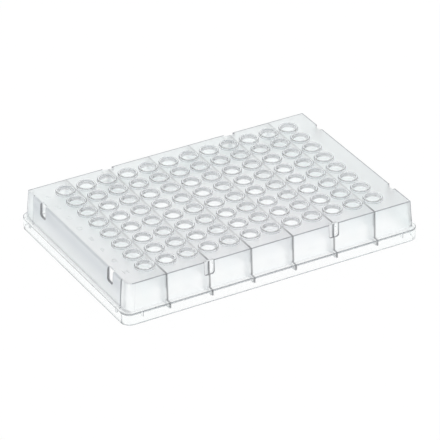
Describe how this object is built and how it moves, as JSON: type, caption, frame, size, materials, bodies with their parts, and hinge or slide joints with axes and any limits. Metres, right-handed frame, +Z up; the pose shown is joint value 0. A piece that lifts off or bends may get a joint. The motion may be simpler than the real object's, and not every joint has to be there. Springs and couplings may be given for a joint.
{
  "type": "well plate",
  "caption": "Clear one-piece plate: a skirted deck with a grid of raised, conical wells on 9 mm centres for small liquid samples.",
  "frame": {"origin": "centre of the footprint, on the plane the plate stands on", "axes": "+X along the long side towards the last column, +Y towards row A, +Z up out of the wells"},
  "size_m": [0.1278, 0.0854, 0.0171],
  "materials": {
    "clear_polypropylene": "gloss, clear natural polypropylene"
  },
  "bodies": {
    "root": {"well_plate": "clear_polypropylene"}
  },
  "joints": []
}
